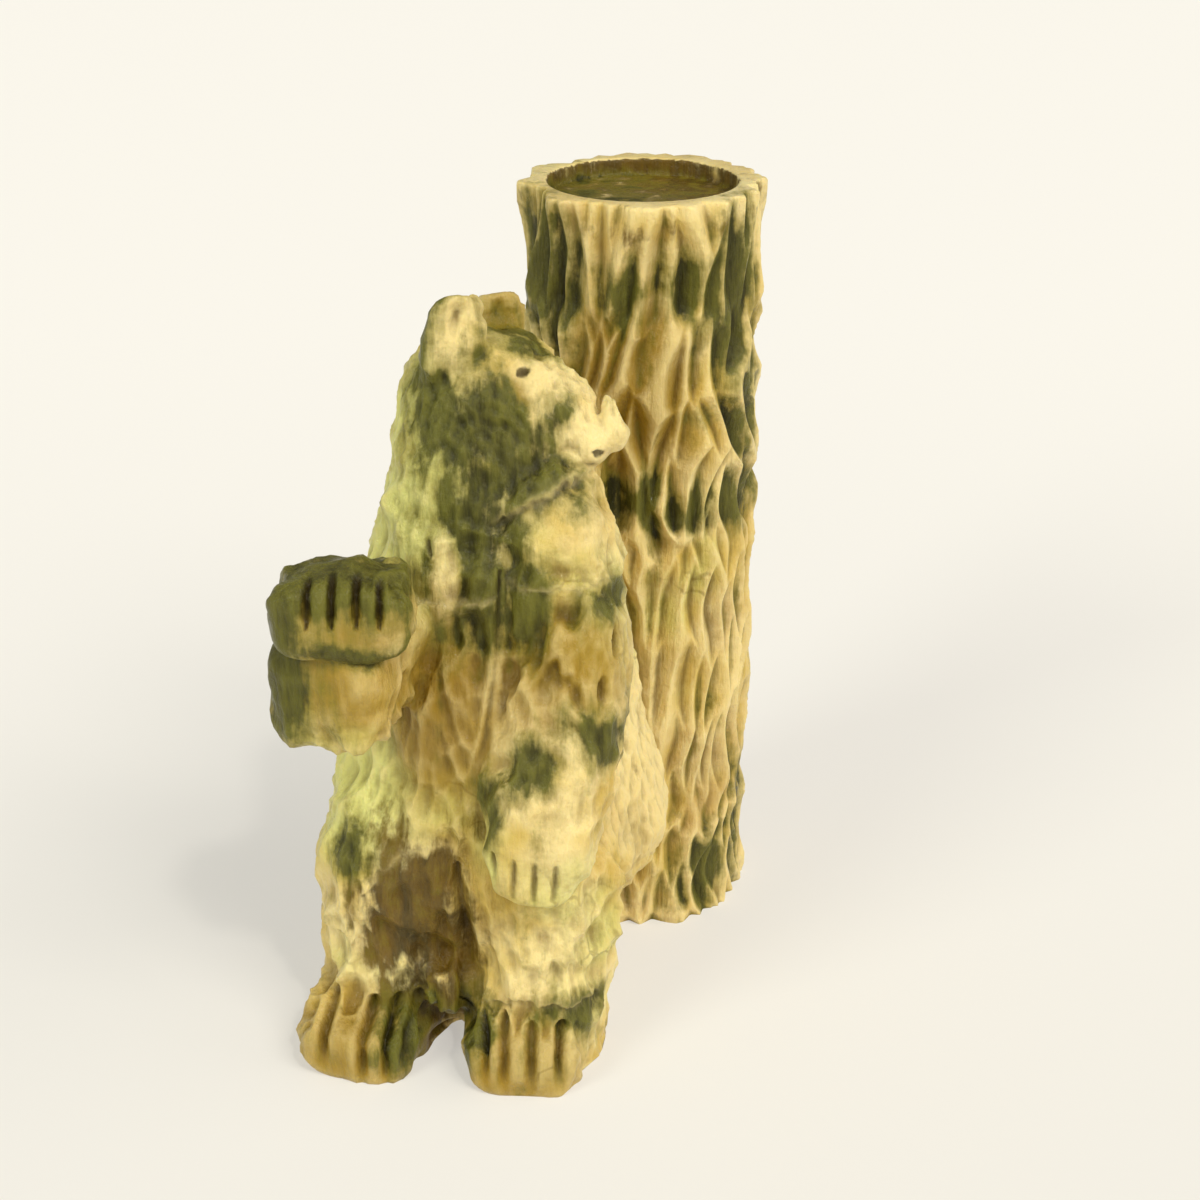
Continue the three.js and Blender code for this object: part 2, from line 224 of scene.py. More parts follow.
GREENS = {
    "right_shoulder": ((-62, -80, 160), (18, 22, 40)),
    "nape": ((-65, -74, 178), (10, 18, 26)),
    "right_flank": ((-78, -80, 84), (20, 30, 22)),
    "left_paw": ((-42, -112, 72), (4, 8, 10)),
}
CREAMS_AND_PAINTED_LIGHT = {
    # Painted light: cream on the rump's lit right side
    "rump": ((4, -62, 78), (16, 30, 30)),
    "right_ear": ((-47, -82, 199), (6.5, 5, 12)),
    "tongue": ((-50, -93, 143), (3.5, 6, 12)),
    "muzzle": ((-14, -85, 177), (7, 7, 7)),
    "face": ((-26, -80, 188), (8, 8, 9)),
}
# Darker honey-brown patches. Those on the trunk beside the head and in the eye socket are painted shade
DUSKS_AND_PAINTED_SHADE = {
    "belly": ((-52, -100, 106), (18, 12, 28)),
    # Painted shade on the trunk behind the head
    "bark": ((-4, -33, 170), (18, 10, 26)),
    "right_toes": ((-78, -106, 10), (20, 16, 16)),
    "left_toes": ((-32, -112, 10), (20, 16, 15)),
    "left_arm": ((-20, -99, 124), (17, 13, 18)),
    "finger_front": ((-72, -125, 145), (18, 7, 10)),
    "painted_shade_eye_socket": ((-32, -80, 185), (5, 6, 5)),
    "far_ear": ((-36, -57, 200), (8, 6, 9)),
    "left_paw": ((-29, -102, 70), (11, 11, 11)),
    "palm": ((-74, -112, 124), (16, 16, 13)),
}

# Places left smooth, with fine strokes of fur, and torn by slanting gashes: middle and reach
BARE = {
    "muzzle": ((-9, -84, 173), (7, 8, 7)),
    "eye": ((-29, -78, 190), (5, 6, 4)),
    "armpit": ((-58, -92, 133), (8, 12, 13)),
    "right_paw": ((-74, -116, 136), (18, 20, 22)),
    "left_paw": ((-29, -114, 74), (14, 10, 14)),
    "right_toes": ((-80, -110, 8), (18, 10, 14)),
    "left_toes": ((-32, -116, 8), (18, 10, 14)),
    "right_ear": ((-46.5, -80, 201), (7, 5, 10)),
    "left_ear": ((-37, -57, 199), (7, 5, 9)),
    "left_shoulder": ((-21, -95, 157), (12, 8, 9)),
}
FINE = {
    "neck": ((-40, -78, 176), (22, 22, 22)),
    "flank": ((0, -62, 80), (14, 30, 30)),
    "face": ((-23, -80, 183), (13, 11, 13)),
}
TORN = {"left_upper_arm": ((-18, -100, 126), (14, 12, 15))}

# Fur: tufts are short strokes, locks are broad ones, and patches make them shallow and deep by turns
BEAR_JOIN = (0.4, 2.5)
EASING_ROUNDS = 10
EASING = 0.5
SOFTENING = 0.4
BARE_EDGE = (0.35, 0.6)
FINE_EDGE = (0.3, 0.6)
TORN_EDGE = (0.35, 0.65)
PATCH_MEAN = 0.8
PATCH_SWING = 0.5
PATCH_SIZE = 13
TUFT_SIZE = (2.0, 2.0, 6.5)
LOCK_SIZE = (5.6, 5.6, 9.5)
LOCK_SPREAD = 0.5
LOCK_DEPTH = 4.6
TUFT_DEPTH = 0.9
FINE_TUFT_DEPTH = 1.8
FINE_PATCH_DEPTH = 0.7
GASH_DEPTH = 3.8
GASH_TUFT_DEPTH = 1.2
GASH_SHADE = 0.6
GASH_SIZE = 3.0
GASH_EDGE = (-0.15, 0.4)
GASH_STRETCH = (1, 0.6, 0.24)
SKIN_LEVEL = 1.2
BARE_SHARE = 0.85
SWELL = 0.7
SWELL_SIZE = 20
FACET_SIZE = 10.0
FACET_SPREAD = 0.3
FACET_RISE = 1.8
FACET_LEVEL = 0.35
FACET_LEAST = 0.2
SLANT = np.array([[1, 0, 0.0], [0, 1, 0], [-0.45, 0, 1]]).T

# Bark: columns round the trunk, height of a mark, depth, lowest level, lean in columns, seed
BARK = [(31, 16, 5.2, -99, 0.5, 9), (31, 23, 5.6, 38, 0.6, 5), (27, 21, 7.0, 124, 1.0, 1),
        (26, 36, 6.8, 188, 0.7, 13)]

# Numbers of the noise and of the marks. Shifts keep one noise apart from another.
SHIFTS = {"patch": 7, "lock": 9, "bark": 19, "swell": 31, "jag": 41, "facet": 50}
SCATTER_STEPS = (127.1, 311.7, 74.7, 269.5)
SCATTER_GAIN = 43758.5453
WOBBLE_LENGTHS = (4.3, 9.7)
WOBBLE_STARTS = ([0.4, 2.1, 4.0], [1.3, 3.7, 5.1])
WOBBLE_SWINGS = (0.7, 1.6)
SCOOP_JITTER = 0.9
SCOOP_KEY = 5
GOUGE_JITTER = (0.5, 0.7)
GOUGE_SPREAD = 0.45
GOUGE_ROUNDING = 0.08
GOUGE_TAPER = 1.05
GOUGE_LEVEL = 0.06
BARK_JOIN = 6
BARK_RISE = 3.5
BARK_RISE_SIZE = 15
BARK_TWIST = 0.07
BARK_TWIST_SIZE = 13
CUT_TIP = 0.45
CUT_SPREAD = 1.15
CUT_POWER = 1.5
CUT_SHADE = (0.45, 1.0)
CUT_CLEAR = (1.0, 1.6)
CUT_END = 0.2
FLAKE_JAGS = ((1.7, 4.5), (0.9, 1.9))
FLAKE_RUN = 9
FLAKE_EDGE = 0.8
FLAKE_REACH = 1.25
FLAKE_FADE = 0.8
SEAT_STAIN = 0.62
FAR = 999.0
NO_MARK = -9.0


def ease(t, low=0.0, high=1.0):
    """0 below low, 1 above high, and between them three times the square less twice the cube."""
    t = np.clip((t - low) / (high - low), 0, 1)
    return t * t * (3 - 2 * t)


def unit(v):
    """Each vector divided by its length."""
    return v / np.maximum(np.linalg.norm(v, axis=-1, keepdims=True), 1e-9)


def scatter(*index):
    """A number from 0 to 1 for each lattice place: the fraction of a large sine of its indices."""
    s = np.sin(sum(a * b for a, b in zip(index, SCATTER_STEPS))) * SCATTER_GAIN
    return s - np.floor(s)


def clouds(places, size):
    """Smooth noise from -1 to 1: lattice values blended across each cell of that size by ease."""
    q = places / size
    cell = np.floor(q)
    t = ease(q - cell)
    total = np.zeros(len(places))
    for corner in product((0, 1), repeat=3):
        weight = np.prod(np.where(corner, t, 1 - t), axis=-1)
        total += weight * scatter(*(cell + corner).T)
    return 2 * total - 1


def wobble(places):
    """Places pushed about by crossed sines of two lengths."""
    first = np.sin(places[:, [1, 2, 0]] / WOBBLE_LENGTHS[0] + WOBBLE_STARTS[0])
    second = np.sin(places[:, [2, 0, 1]] / WOBBLE_LENGTHS[1] + first + WOBBLE_STARTS[1])
    return places + WOBBLE_SWINGS[0] * first + WOBBLE_SWINGS[1] * second


def scoops(places, size, spread=0.65):
    """Depth of scattered round gouge marks: each is as deep as its own number, from 1 less spread to 1,
    less the square of the distance from its middle in sizes, and the deepest one counts at every place."""
    q = places / np.array(size)
    cell = np.floor(q)
    best = np.full(len(q), NO_MARK)
    for step in product((-1, 0, 1), repeat=3):
        at = cell + step
        jitter = np.stack([scatter(*at.T, k) for k in range(3)], axis=-1) - 0.5
        middle = at + 0.5 + SCOOP_JITTER * jitter
        away = np.sum((middle - q) ** 2, axis=-1)
        best = np.maximum(best, 1 - spread * scatter(*at.T, SCOOP_KEY) - away)
    return best


def gouges(turn, z, columns, height, lean, seed):
    """Depth of long upright gouge marks on the wall: middles stand in jittered rows, every other row moved
    half a column; each mark leans its own way, falls off evenly to its sides and as the square of the
    distance up and down, and the deepest one counts at every place."""
    across = turn / (2 * math.pi) * columns
    up = z / height
    row = np.floor(up)
    best = np.full(len(z), NO_MARK)
    for dj, di in product((-1, 0, 1), (-2, -1, 0, 1, 2)):
        j = row + dj
        i = np.floor(across - 0.5 * (j % 2)) + di
        key = i % columns
        x = i + 0.5 * (j % 2) + 0.5 + GOUGE_JITTER[0] * (scatter(key, j, seed) - 0.5)
        y = j + 0.5 + GOUGE_JITTER[1] * (scatter(key, j, seed + 1) - 0.5)
        beside = across - x - 2 * lean * (scatter(key, j, seed + 2) - 0.5) * (up - y)
        full = 1 - GOUGE_SPREAD * scatter(key, j, seed + 3)
        best = np.maximum(best, full - np.hypot(beside, GOUGE_ROUNDING) - (GOUGE_TAPER * (up - y)) ** 2)
    return best


def directions(tangent, side):
    """Across a path: sideways is side less its part along the path, and upward is square to both."""
    side = np.array(side, float)
    sideways = unit(side - (tangent @ side)[..., None] * tangent)
    return sideways, np.cross(tangent, sideways)


def curve(path, t):
    """Points and tangents on a smooth curve through the path's places: cubic between each two places, its
    slope at a place half the step between that place's neighbours."""
    path = np.array(path, float)
    ends = np.vstack([2 * path[0] - path[1], path, 2 * path[-1] - path[-2]])
    at = np.clip(t, 0, 1 - 1e-9) * (len(path) - 1)
    i = np.floor(at).astype(int)
    s = (at - i)[:, None]
    p0, p1, p2, p3 = (ends[i + k] for k in range(4))
    m1, m2 = (p2 - p0) / 2, (p3 - p1) / 2
    c3, c2 = 2 * p1 - 2 * p2 + m1 + m2, -3 * p1 + 3 * p2 - 2 * m1 - m2
    return ((c3 * s + c2) * s + m1) * s + p1, unit((3 * c3 * s + 2 * c2) * s + m1)


def along(row, t):
    """Value part-way along a row of evenly spaced numbers, eased through each of them."""
    row = np.array(row, float)
    at = np.clip(t, 0, 1 - 1e-9) * (len(row) - 1)
    i = np.floor(at).astype(int)
    return row[i] + (row[i + 1] - row[i]) * ease(at - i)


def outside_limb(places, stations, side):
    """How far each place lies outside a limb, less than zero inside: between two stations the limb is an
    oval that swells from one to the next by ease, with round ends."""
    nearest = np.inf
    stations = np.array(stations, float)
    for start, end in zip(stations[:-1], stations[1:]):
        run = end[:3] - start[:3]
        length = np.linalg.norm(run)
        tangent = run / length
        sideways, upward = directions(tangent, side)
        offset = places - start[:3]
        travel = offset @ tangent
        t = np.clip(travel / length, 0, 1)
        wide, deep = (start[k] + (end[k] - start[k]) * ease(t) for k in (3, 4))
        small = np.minimum(wide, deep)
        past = (travel - t * length) / small
        oval = np.sqrt((offset @ sideways / wide) ** 2 + (offset @ upward / deep) ** 2 + past ** 2)
        nearest = np.minimum(nearest, (oval - 1) * small)
    return nearest


def outside_body(places):
    """The limbs joined in turn: the lesser of two distances, less a hollow that fills the corner."""
    nearest = np.full(places.shape[:-1], FAR)
    for fillet, side, stations in LIMBS.values():
        limb = outside_limb(places, stations, side)
        near = np.maximum(0, 1 - np.abs(nearest - limb) / fillet)
        nearest = np.minimum(nearest, limb) - near * near * fillet / 4
    return nearest


def body_grid():
    """The body's skin: at each level and heading, the spine's place plus the heading times the greatest
    distance that is still inside, found from outside inwards and then halved."""
    levels = np.arange(SPINE[-1, 2], CROWN_LIMIT, CROWN_STEP)
    on_spine = np.stack([np.interp(levels, SPINE[:, 2], SPINE[:, k]) for k in (0, 1)] + [levels], axis=-1)
    crown = levels[outside_body(on_spine) < 0].max(initial=SPINE[-1, 2] - 1)
    z = crown + (UNDER_GROUND - crown) * np.linspace(0, 1, SKIN_ROWS) ** SKIN_CROWDING
    spine = np.stack([np.interp(z, SPINE[:, 2], SPINE[:, k]) for k in (0, 1)] + [z], axis=-1)[:, None]
    turn = np.linspace(0, 2 * math.pi, SKIN_COLUMNS, endpoint=False)
    heading = np.stack([np.cos(turn), np.sin(turn), 0 * turn], axis=-1)[None]
    inner = np.zeros((SKIN_ROWS, SKIN_COLUMNS))
    for reach in range(SKIN_REACH, 0, -SKIN_STEP):
        inside = outside_body(spine + reach * heading) <= 0
        inner = np.where((inner == 0) & inside, reach, inner)
    outer = inner + SKIN_STEP
    for _ in range(SKIN_HALVINGS):
        middle = (inner + outer) / 2
        inside = outside_body(spine + middle[..., None] * heading) <= 0
        inner, outer = np.where(inside, middle, inner), np.where(inside, outer, middle)
    inner[[0, -1]] = 0
    return spine + inner[..., None] * heading


def mass_grid(path, wide, deep, side, fullness, box):
    """A closed sausage: along the path by t, and round it by turn, the path's point plus sideways times the
    cosine and upward times the sine, each times half width or depth and a girth that closes both ends."""
    t = 0.5 - 0.5 * np.cos(np.linspace(0, math.pi, MASS_ROWS))
    turn = np.linspace(0, 2 * math.pi, MASS_COLUMNS, endpoint=False)
    middle, tangent = curve(path, t)
    sideways, upward = directions(tangent, side)
    girth = (1 - np.abs(2 * t - 1) ** fullness) ** (1 / fullness)
    square = (np.abs(np.cos(turn)) ** box + np.abs(np.sin(turn)) ** box) ** (-1 / box)
    across = (girth * along(wide, t))[:, None] * square * np.cos(turn)
    over = (girth * along(deep, t))[:, None] * square * np.sin(turn)
    return middle[:, None] + across[..., None] * sideways[:, None] + over[..., None] * upward[:, None]


def trunk_grid():
    """The plain trunk: a profile of foot, wall, rim, seat wall and seat floor turned round the axis."""
    profile = np.array([
        [0, UNDER_GROUND], [TRUNK_RADIUS, UNDER_GROUND],
        [TRUNK_RADIUS, TRUNK_HEIGHT - RIM_BEVEL], [TRUNK_RADIUS - RIM_BEVEL, TRUNK_HEIGHT],
        [SEAT_RADIUS + SEAT_BEVEL, TRUNK_HEIGHT], [SEAT_RADIUS, TRUNK_HEIGHT - SEAT_BEVEL],
        [SEAT_RADIUS, SEAT_FLOOR], [0, SEAT_FLOOR]])
    turn = np.linspace(0, 2 * math.pi, TRUNK_COLUMNS, endpoint=False)
    ring = np.stack([np.cos(turn), np.sin(turn), 0 * turn], axis=-1)
    return profile[:, None, :1] * ring + profile[:, None, 1:] * np.array([0, 0, 1.0])


def closed_mesh(name, grids):
    """One mesh of several closed grids. Each grid's rows close on themselves, and its first and last row
    are points; a face joins each place to the next in its row and to the two below them."""
    places, faces, count = [], [], 0
    for grid in grids:
        rows, columns = grid.shape[:2]
        index = count + np.arange(rows * columns).reshape(rows, columns)
        beside = np.roll(index, -1, axis=1)
        faces.append(np.stack([index[:-1], index[1:], beside[1:], beside[:-1]], axis=-1).reshape(-1, 4))
        places.append(grid.reshape(-1, 3))
        count += rows * columns
    places, faces = np.vstack(places), np.vstack(faces)
    mesh = bpy.data.meshes.new(name)
    mesh.vertices.add(len(places))
    mesh.vertices.foreach_set("co", (places * MM + TRUNK_FOOT).astype(np.float32).ravel())
    mesh.loops.add(faces.size)
    mesh.loops.foreach_set("vertex_index", faces.astype(np.int32).ravel())
    mesh.polygons.add(len(faces))
    mesh.polygons.foreach_set("loop_start", np.arange(0, faces.size, 4, dtype=np.int32))
    mesh.update(calc_edges=True)
    mesh.validate()
    return mesh


def finished(obj):
    """The object's mesh with its modifiers carried out, and none left on it."""
    made = bpy.data.meshes.new_from_object(obj.evaluated_get(bpy.context.evaluated_depsgraph_get()))
    obj.modifiers.clear()
    old, obj.data = obj.data, made
    bpy.data.meshes.remove(old)
    return made


def read_places(mesh):
    """Vertex places in millimetres from the trunk's foot, and vertex normals."""
    places = np.empty(len(mesh.vertices) * 3)
    mesh.vertices.foreach_get("co", places)
    normals = np.empty_like(places)
    mesh.vertex_normals.foreach_get("vector", normals)
    return (places.reshape(-1, 3) - TRUNK_FOOT) / MM, normals.reshape(-1, 3)


def write_places(mesh, places):
    """Puts the places back into the mesh."""
    mesh.vertices.foreach_set("co", (places * MM + TRUNK_FOOT).astype(np.float32).ravel())
    mesh.update()


def neighbour_mean(mesh, values):
    """For each vertex, the mean of the values at the other ends of its edges."""
    ends = np.empty(len(mesh.edges) * 2, dtype=np.int32)
    mesh.edges.foreach_get("vertices", ends)
    a, b = ends.reshape(-1, 2).T
    count = np.bincount(a, minlength=len(values)) + np.bincount(b, minlength=len(values))
    mean = np.empty_like(values)
    for k in range(values.shape[1]):
        total = np.bincount(a, values[b, k], len(values)) + np.bincount(b, values[a, k], len(values))
        mean[:, k] = total / np.maximum(count, 1)
    return mean


def closeness(places, patches):
    """1 in the middle of the nearest patch, falling to 0 at twice its reach."""
    best = np.zeros(len(places))
    for middle, reach in patches.values():
        away = np.linalg.norm((places - np.array(middle)) / np.array(reach), axis=-1)
        best = np.maximum(best, np.clip(1 - away / 2, 0, 1))
    return best


def away_from(places, path):
    """Distance of each place from the nearest stretch of a path, with depth into the stone counted lightly,
    and how near that stretch is to the path's ends, 0 at an end and 1 from a fifth of the way in."""
    path = np.array(path, float) * DEPTH_COUNTS
    places = places * DEPTH_COUNTS
    nearest = np.full(len(places), FAR)
    travel = np.zeros(len(places))
    for k, (start, end) in enumerate(zip(path[:-1], path[1:])):
        run = end - start
        t = np.clip((places - start) @ run / (run @ run), 0, 1)
        away = np.linalg.norm(places - start - t[:, None] * run, axis=-1)
        travel = np.where(away < nearest, (k + t) / (len(path) - 1), travel)
        nearest = np.minimum(nearest, away)
    return nearest, ease(np.minimum(travel, 1 - travel), 0, CUT_END)


def cuts(places):
    """Depth of the cuts, the painted shade inside them, and where the fur gives way to them: a cut is
    deepest on its path, rises to nothing at its half width as a power of what is left, and narrows towards
    its ends."""
    depth, dark, clear = np.zeros((3, len(places)))
    for path, half_width, deepest, darkness in CUTS.values():
        away, inner = away_from(places, path)
        away = away / (half_width * (CUT_TIP + (1 - CUT_TIP) * inner))
        share = np.clip(CUT_SPREAD - away, 0, 1) ** CUT_POWER
        depth = np.maximum(depth, deepest * share)
        dark = np.maximum(dark, darkness * (1 - ease(away, *CUT_SHADE)))
        clear = np.maximum(clear, 1 - ease(away, *CUT_CLEAR))
    return depth, dark, clear


def flakes(places):
    """Height of the flakes and nearness to their edges: each rises evenly over its reach to an edge that
    noise makes jagged, and falls off at once beyond it."""
    (coarse, coarse_size), (small, small_size) = FLAKE_JAGS
    jag = coarse * clouds(places, coarse_size) + small * clouds(places + SHIFTS["jag"], small_size)
    height, edge = np.zeros((2, len(places)))
    for middle, reach, down, tallest in FLAKES.values():
        offset = places - np.array(middle)
        beyond = offset @ np.array(down) + jag
        share = ease(FLAKE_REACH - np.linalg.norm(offset / np.array(reach), axis=-1), 0, FLAKE_FADE)
        rise = np.clip(1 + beyond / FLAKE_RUN, 0, 1) * (beyond < 0)
        height = np.maximum(height, tallest * share * rise)
        edge = np.maximum(edge, share * np.exp(-(beyond / FLAKE_EDGE) ** 2))
    return height, edge


def bark_depth(places):
    """Depth of the bark's gouges below the wall: marks of four sizes, tall at the rim, crossing in the
    upper wall, softer below and small at the foot, each passing into the next by ease."""
    z = places[:, 2] + BARK_RISE * clouds(places + SHIFTS["bark"], BARK_RISE_SIZE)
    turn = np.arctan2(places[:, 1], places[:, 0]) + BARK_TWIST * clouds(places, BARK_TWIST_SIZE)
    depth = np.zeros(len(places))
    for columns, height, deep, lowest, lean, seed in BARK:
        gouge = deep * np.maximum(gouges(turn, z, columns, height, lean, seed) + GOUGE_LEVEL, 0)
        depth += (gouge - depth) * ease(places[:, 2], lowest - BARK_JOIN, lowest + BARK_JOIN)
    return depth


def carve(mesh):
    """The carver's work on the joined masses: corners eased, then cuts, flakes, fur and bark, each a depth
    at every vertex that moves it along its normal or towards the trunk's axis, and one softening. Gives the
    masks for the finish; cavity is the distance below the mean level of the vertices around."""
    places, _ = read_places(mesh)
    radius = np.hypot(places[:, 0], places[:, 1])
    on_bear = ease(radius, TRUNK_RADIUS + BEAR_JOIN[0], TRUNK_RADIUS + BEAR_JOIN[1])
    for _ in range(EASING_ROUNDS):
        places += (EASING * on_bear)[:, None] * (neighbour_mean(mesh, places) - places)
    places[:, 2] = np.maximum(places[:, 2], 0)
    write_places(mesh, places)
    places, normals = read_places(mesh)

    groove, dark, clear = cuts(places)
    groove *= on_bear
    raised, edge = flakes(places)
    bare = np.maximum(ease(closeness(places, BARE), *BARE_EDGE), clear)
    fine = ease(closeness(places, FINE), *FINE_EDGE)
    torn = ease(closeness(places, TORN), *TORN_EDGE)

    wander = wobble(places)
    patchy = PATCH_MEAN + PATCH_SWING * clouds(places + SHIFTS["patch"], PATCH_SIZE)
    tufts = scoops(wander, TUFT_SIZE)
    locks = scoops(wander + SHIFTS["lock"], LOCK_SIZE, LOCK_SPREAD)
    fur = LOCK_DEPTH * patchy * locks + TUFT_DEPTH * tufts
    fur += fine * (FINE_TUFT_DEPTH * tufts + FINE_PATCH_DEPTH * patchy - fur)
    gash = ease(clouds((wander @ SLANT) * GASH_STRETCH, GASH_SIZE), *GASH_EDGE)
    fur += torn * (GASH_DEPTH * gash + GASH_TUFT_DEPTH * tufts - fur)
    dark = np.maximum(dark, GASH_SHADE * torn * gash)
    fur = (fur - SKIN_LEVEL) * (1 - BARE_SHARE * bare) * on_bear
    flat = 1 - scoops(places + SHIFTS["facet"], FACET_SIZE, FACET_SPREAD)
    facets = (FACET_LEAST + (1 - FACET_LEAST) * bare) * FACET_RISE * (flat - FACET_LEVEL)
    swell = SWELL * clouds(places + SHIFTS["swell"], SWELL_SIZE) + facets

    bark = bark_depth(places) * (1 - on_bear) * ease(radius, SEAT_RADIUS + 1.5, TRUNK_RADIUS - 1)
    moved = places + normals * (on_bear * (swell + raised) - groove - fur)[:, None]
    moved[:, :2] *= (1 - bark / np.maximum(radius, 1))[:, None]
    on_ground = places[:, 2] <= GROUND_NEAR
    moved[:, 2] = np.where(on_ground, 0, np.maximum(moved[:, 2], 0))
    soft = on_bear * (1 - clear)
    moved += (SOFTENING * soft)[:, None] * (neighbour_mean(mesh, moved) - moved)
    write_places(mesh, moved)
    level = moved
    for _ in range(CAVITY_REACH):
        level = neighbour_mean(mesh, level)
    cavity = np.sum((level - moved) * normals, axis=-1)
    seat = (radius < SEAT_RADIUS + 0.3) & (places[:, 2] > SEAT_FLOOR - 1)
    return {
        "cavity": cavity,
        # groove carries the painted shade inside the cuts and the torn gashes
        "groove": dark * on_bear,
        "edge": edge * on_bear,
        "vein": closeness(wander, VEINS),
        "stain": np.maximum(closeness(wander, STAINS), SEAT_STAIN * seat),
        "green": closeness(places, GREENS),
        "cream": closeness(places, CREAMS_AND_PAINTED_LIGHT),
        "dusk": closeness(wander, DUSKS_AND_PAINTED_SHADE),
        "trunk": 1 - on_bear,
    }


def add_attributes(mesh, values):
    """One number at each vertex for each named mask."""
    for name, row in values.items():
        mesh.attributes.new(name, "FLOAT", "POINT").data.foreach_set("value", row.astype(np.float32))


def carving():
    """The whole carving as one closed mesh."""
    grids = [body_grid(), trunk_grid()] + [mass_grid(*row) for row in MASSES.values()]
    obj = bpy.data.objects.new("carving", closed_mesh("carving", grids))
    bpy.context.scene.collection.objects.link(obj)
    fuse = obj.modifiers.new("fuse", "REMESH")
    fuse.mode = "VOXEL"
    fuse.voxel_size = VOXEL * MM
    mesh = finished(obj)
    add_attributes(mesh, carve(mesh))
    count = sum(len(p.vertices) - 2 for p in mesh.polygons)
    thin = obj.modifiers.new("thin", "DECIMATE")
    thin.ratio = min(1.0, TRIANGLES / count)
    mesh = finished(obj)
    mesh.polygons.foreach_set("use_smooth", np.ones(len(mesh.polygons), dtype=bool))
    mesh.name = "carving"
    return obj


# Colour sockets of the mix node
MIX_SHARE, MIX_FIRST, MIX_SECOND, MIX_RESULT = 0, 6, 7, 2


class Tree:
    """Short hands for a node tree: new nodes with their values, and links between sockets. A mask is a
    vertex attribute, a step rises by ease from low to high, and lay puts a colour over the base."""

    def __init__(self, tree):
        self.tree = tree

    def add(self, kind, settings=None, **inputs):
        made = self.tree.nodes.new("ShaderNode" + kind)
        for name, value in (settings or {}).items():
            setattr(made, name, value)
        for name, value in inputs.items():
            self.put(made.inputs[name.replace("_", " ")], value)
        return made

    def put(self, socket, value):
        if isinstance(value, bpy.types.NodeSocket):
            self.tree.links.new(value, socket)
        else:
            socket.default_value = value

    def math(self, operation, *values):
        made = self.tree.nodes.new("ShaderNodeMath")
        made.operation = operation
        for socket, value in zip(made.inputs, values):
            self.put(socket, value)
        return made.outputs[0]

    def mask(self, name):
        return self.add("Attribute", {"attribute_name": name}).outputs["Fac"]

    def noise(self, place, scale, detail=4.0, rough=0.55):
        made = self.add("TexNoise", Vector=place, Scale=scale, Detail=detail, Roughness=rough)
        return made.outputs["Fac"]

    def step(self, value, low, high):
        made = self.add("MapRange", {"interpolation_type": "SMOOTHSTEP"})
        self.put(made.inputs["Value"], value)
        self.put(made.inputs["From Min"], low)
        self.put(made.inputs["From Max"], high)
        return made.outputs["Result"]

    def mix(self, share, a, b):
        made = self.tree.nodes.new("ShaderNodeMix")
        made.data_type = "RGBA"
        self.put(made.inputs[MIX_SHARE], share)
        self.put(made.inputs[MIX_FIRST], a)
        self.put(made.inputs[MIX_SECOND], b)
        return made.outputs[MIX_RESULT]

    def lay(self, base, colour_over, share, most):
        return self.mix(self.math("MULTIPLY", share, most), base, colour_over)


def colour(red, green, blue):
    """A colour on a screen, 0 to 255, as the light it stands for."""
    screen = np.array([red, green, blue]) / 255
    light = np.where(screen <= 0.04045, screen / 12.92, ((screen + 0.055) / 1.055) ** 2.4)
    return (*light.tolist(), 1.0)


HONEY = colour(206, 176, 90)
CREAM = colour(236, 215, 150)
PALE_GREEN = colour(214, 213, 128)
TAN = colour(184, 148, 88)
DUSK = colour(146, 114, 18)
OCHRE = colour(100, 72, 2)
BROWN = colour(46, 33, 2)
OLIVE = colour(120, 112, 36)
VEIN_DARK = colour(24, 26, 4)
VEIN_LIGHT = colour(102, 100, 36)
FLOOR_NEAR_SHADED = colour(174, 171, 162)
FLOOR_FAR_LIT = colour(186, 183, 174)

# Light and floor
WARM = (1.0, 0.97, 0.92)
GLINT_TINT = (1.0, 0.98, 0.95)
FILL_TINT = (0.96, 1.0, 0.93)
ROOM_TINT = (1.0, 0.99, 0.965)
ROOM_STRENGTH = 0.28
FLOOR_REACH = 6.0
FLOOR_GLOW = 0.42

# The photograph's camera, in metres, degrees and millimetres
CAMERA_PLACE = (0.0184, -0.4794, 0.3383)
CAMERA_PITCH = 25.01
CAMERA_LENS = 58.02
CAMERA_SENSOR = 36


